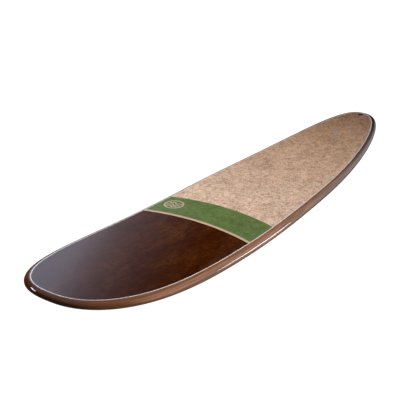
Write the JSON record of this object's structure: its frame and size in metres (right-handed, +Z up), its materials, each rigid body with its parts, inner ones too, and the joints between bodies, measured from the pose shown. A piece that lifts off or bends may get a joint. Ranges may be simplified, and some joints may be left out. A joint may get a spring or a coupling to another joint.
{
  "type": "stand up paddleboard",
  "caption": "Long round-nosed stand up paddleboard with wood rails, a fibre deck in bands, a leash plug, an air vent and a slotted centre fin.",
  "frame": {"origin": "mid-length on the centreline, on the flat of the hull bottom", "axes": "+X towards the nose, +Y towards the left rail, +Z up out of the deck"},
  "size_m": [3.2, 0.76, 0.3305],
  "materials": {
    "brown_wood": "gloss",
    "cream_inlay": "gloss",
    "green_fibre": "gloss",
    "coco_fibre": "satin",
    "white_pinline": "gloss",
    "laminate_skin": "satin",
    "rail_wood": "gloss",
    "hull_wood": "gloss",
    "foam": "matte",
    "dense_foam": "matte",
    "plywood": "matte",
    "black_plastic": "satin",
    "black_rubber": "matte",
    "stainless_steel": "polished",
    "satin_steel": "satin",
    "brass": "satin"
  },
  "bodies": {
    "board": {"nose_panel": "brown_wood", "cream_stripe": "cream_inlay", "green_band": "green_fibre", "fibre_deck_panel": "coco_fibre", "deck_pinline": "white_pinline", "deck_inner_skin": "laminate_skin", "rail_band_left": "rail_wood", "rail_band_right": "rail_wood", "bottom_skin": "hull_wood", "foam_core_left": "foam", "foam_core_right": "foam", "stringer": "plywood", "leash_plug_cup": "black_plastic", "leash_plug_pin": "stainless_steel", "leash_plug_block": "dense_foam", "vent_housing": "satin_steel", "vent_block": "dense_foam", "fin_box": "black_plastic", "fin_box_block": "dense_foam"},
    "fin": {"centre_fin": "black_plastic", "fin_cross_pin": "brass"},
    "fin_screw": {"fin_screw": "stainless_steel"},
    "fin_plate": {"fin_plate": "stainless_steel"},
    "vent_lift": {"vent_seal": "black_rubber"},
    "vent_screw": {"vent_screw": "satin_steel"}
  },
  "joints": [
    {"name": "fin_slide", "type": "slide", "parent": "board", "child": "fin", "axis": [0.9912, 0, -0.1321], "range_m": [-0.03, 0.03]},
    {"name": "fin_screw_turn", "type": "hinge", "parent": "fin", "child": "fin_screw", "pos_m": [-1.17971, 0, 0.04675], "axis": [-0.1321, 0, -0.9912], "range_deg": [0, 541]},
    {"name": "fin_plate_draw", "type": "slide", "parent": "fin", "child": "fin_plate", "axis": [0.1321, 0, 0.9912], "range_m": [0, 0.00105]},
    {"name": "vent_seal_lift", "type": "slide", "parent": "board", "child": "vent_lift", "axis": [0.0891, 0, 0.996], "range_m": [0, 0.005]},
    {"name": "vent_screw_turn", "type": "hinge", "parent": "vent_lift", "child": "vent_screw", "pos_m": [-1.222, -0.027, 0.10704], "axis": [0.0891, 0, 0.996], "range_deg": [0, 1441]}
  ],
  "couplings": [
    {"joint": "fin_screw_turn", "follows": "fin_plate_draw", "rad_per_m": 8976},
    {"joint": "vent_screw_turn", "follows": "vent_seal_lift", "rad_per_m": 5026.5}
  ]
}
